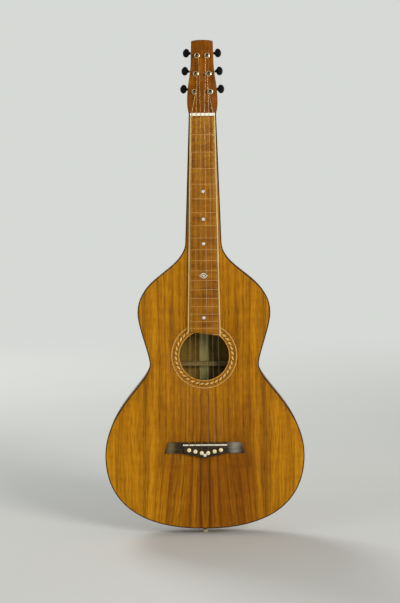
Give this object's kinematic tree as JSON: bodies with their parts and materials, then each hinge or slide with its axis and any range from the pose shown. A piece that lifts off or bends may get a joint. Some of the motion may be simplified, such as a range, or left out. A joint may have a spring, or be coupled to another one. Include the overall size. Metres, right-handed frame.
{
  "type": "hawaiian guitar",
  "caption": "Lap-played guitar with a hollow body that runs on up the neck to the nut, a bridge with removable pins, and geared tuners behind a slim leaning headstock.",
  "frame": {"origin": "centre of the part's box in plan, at the tip of the end pin, where the guitar stands when it is held upright", "axes": "+Z runs from the end pin up the neck to the head, the strings face -Y, and +X is the treble side"},
  "size_m": [0.39, 0.092, 0.9669],
  "materials": {
    "koa_top": "golden koa soundboard under thin gloss lacquer",
    "koa_body": "orange-brown koa under thin gloss lacquer",
    "koa_fretboard": "koa fingerboard, satin",
    "rosewood_binding": "dark wood edge binding, worn gloss",
    "shell_inlay": "polished shell and light wood inlay",
    "mahogany": "sawn, unfinished",
    "spruce": "planed, unfinished",
    "ivoroid": "cream cellulose, polished and yellowed",
    "bone": "polished bone",
    "ebony": "oiled black hardwood, satin",
    "nickel": "nickel plate, slightly dulled",
    "black_button": "moulded black button on a plated steel worm shaft",
    "plain_steel": "drawn plain wire",
    "wound_bronze": "bronze-wound wire, tarnished"
  },
  "bodies": {
    "body": {"soundboard": "koa_top", "rosette_rope_ring": "shell_inlay", "rosette_outer_ring": "shell_inlay", "back": "koa_body", "side_bass": "koa_body", "side_treble": "koa_body", "binding_bass": "rosewood_binding", "binding_treble": "rosewood_binding", "tail_block": "mahogany", "top_lining_bass": "spruce", "top_lining_treble": "spruce", "back_lining_bass": "spruce", "back_lining_treble": "spruce", "upper_top_brace": "spruce", "x_brace_bass": "spruce", "x_brace_treble": "spruce", "lower_face_brace": "spruce", "bridge_plate": "mahogany", "back_centre_strip": "spruce", "back_brace_1": "spruce", "back_brace_2": "spruce", "back_brace_3": "spruce", "back_brace_4": "spruce", "fretboard": "koa_fretboard", "octave_marker": "shell_inlay", "fretboard_binding_bass": "ivoroid", "fretboard_binding_treble": "ivoroid", "nut": "bone", "bridge": "ebony", "saddle": "bone", "end_pin": "bone", "headstock": "koa_body", "tuner_plate_bass": "nickel", "tuner_plate_treble": "nickel", "string_1": "plain_steel", "string_2": "plain_steel", "string_3": "plain_steel", "string_4": "wound_bronze", "string_5": "wound_bronze", "string_6": "wound_bronze"},
    "tuner_knob_1": {"tuner_shaft_1": "black_button"},
    "tuner_knob_2": {"tuner_shaft_2": "black_button"},
    "tuner_knob_3": {"tuner_shaft_3": "black_button"},
    "tuner_knob_4": {"tuner_shaft_4": "black_button"},
    "tuner_knob_5": {"tuner_shaft_5": "black_button"},
    "tuner_knob_6": {"tuner_shaft_6": "black_button"},
    "winding_post_1": {"string_post_1": "nickel"},
    "winding_post_2": {"string_post_2": "nickel"},
    "winding_post_3": {"string_post_3": "nickel"},
    "winding_post_4": {"string_post_4": "nickel"},
    "winding_post_5": {"string_post_5": "nickel"},
    "winding_post_6": {"string_post_6": "nickel"},
    "pin_1": {"bridge_pin_1": "ivoroid"},
    "pin_2": {"bridge_pin_2": "ivoroid"},
    "pin_3": {"bridge_pin_3": "ivoroid"},
    "pin_4": {"bridge_pin_4": "ivoroid"},
    "pin_5": {"bridge_pin_5": "ivoroid"},
    "pin_6": {"bridge_pin_6": "ivoroid"}
  },
  "joints": [
    {"name": "knob_1_turn", "type": "hinge", "parent": "body", "child": "tuner_knob_1", "pos_m": [0.01478, -0.01075, 0.87129], "axis": [0.9969, 0.0068, 0.0782], "continuous": true},
    {"name": "knob_2_turn", "type": "hinge", "parent": "body", "child": "tuner_knob_2", "pos_m": [0.01202, -0.0077, 0.90614], "axis": [0.9969, 0.0068, 0.0782], "continuous": true},
    {"name": "knob_3_turn", "type": "hinge", "parent": "body", "child": "tuner_knob_3", "pos_m": [0.00927, -0.00465, 0.941], "axis": [0.9969, 0.0068, 0.0782], "continuous": true},
    {"name": "knob_4_turn", "type": "hinge", "parent": "body", "child": "tuner_knob_4", "pos_m": [-0.00927, -0.00465, 0.941], "axis": [-0.9969, 0.0068, 0.0782], "continuous": true},
    {"name": "knob_5_turn", "type": "hinge", "parent": "body", "child": "tuner_knob_5", "pos_m": [-0.01202, -0.0077, 0.90614], "axis": [-0.9969, 0.0068, 0.0782], "continuous": true},
    {"name": "knob_6_turn", "type": "hinge", "parent": "body", "child": "tuner_knob_6", "pos_m": [-0.01478, -0.01075, 0.87129], "axis": [-0.9969, 0.0068, 0.0782], "continuous": true},
    {"name": "post_1_turn", "type": "hinge", "parent": "body", "child": "winding_post_1", "pos_m": [0.0153, -0.03135, 0.86644], "axis": [0, 0.9962, -0.0872], "continuous": true},
    {"name": "post_2_turn", "type": "hinge", "parent": "body", "child": "winding_post_2", "pos_m": [0.01255, -0.0283, 0.9013], "axis": [0, 0.9962, -0.0872], "continuous": true},
    {"name": "post_3_turn", "type": "hinge", "parent": "body", "child": "winding_post_3", "pos_m": [0.00979, -0.02525, 0.93616], "axis": [0, 0.9962, -0.0872], "continuous": true},
    {"name": "post_4_turn", "type": "hinge", "parent": "body", "child": "winding_post_4", "pos_m": [-0.00979, -0.02525, 0.93616], "axis": [0, 0.9962, -0.0872], "continuous": true},
    {"name": "post_5_turn", "type": "hinge", "parent": "body", "child": "winding_post_5", "pos_m": [-0.01255, -0.0283, 0.9013], "axis": [0, 0.9962, -0.0872], "continuous": true},
    {"name": "post_6_turn", "type": "hinge", "parent": "body", "child": "winding_post_6", "pos_m": [-0.0153, -0.03135, 0.86644], "axis": [0, 0.9962, -0.0872], "continuous": true},
    {"name": "pin_1_pull", "type": "slide", "parent": "body", "child": "pin_1", "axis": [0, -1, 0], "range_m": [0, 0.03]},
    {"name": "pin_2_pull", "type": "slide", "parent": "body", "child": "pin_2", "axis": [0, -1, 0], "range_m": [0, 0.03]},
    {"name": "pin_3_pull", "type": "slide", "parent": "body", "child": "pin_3", "axis": [0, -1, 0], "range_m": [0, 0.03]},
    {"name": "pin_4_pull", "type": "slide", "parent": "body", "child": "pin_4", "axis": [0, -1, 0], "range_m": [0, 0.03]},
    {"name": "pin_5_pull", "type": "slide", "parent": "body", "child": "pin_5", "axis": [0, -1, 0], "range_m": [0, 0.03]},
    {"name": "pin_6_pull", "type": "slide", "parent": "body", "child": "pin_6", "axis": [0, -1, 0], "range_m": [0, 0.03]}
  ],
  "couplings": [
    {"joint": "post_1_turn", "follows": "knob_1_turn", "ratio": 0.071429},
    {"joint": "post_2_turn", "follows": "knob_2_turn", "ratio": 0.071429},
    {"joint": "post_3_turn", "follows": "knob_3_turn", "ratio": 0.071429},
    {"joint": "post_4_turn", "follows": "knob_4_turn", "ratio": 0.071429},
    {"joint": "post_5_turn", "follows": "knob_5_turn", "ratio": 0.071429},
    {"joint": "post_6_turn", "follows": "knob_6_turn", "ratio": 0.071429}
  ]
}
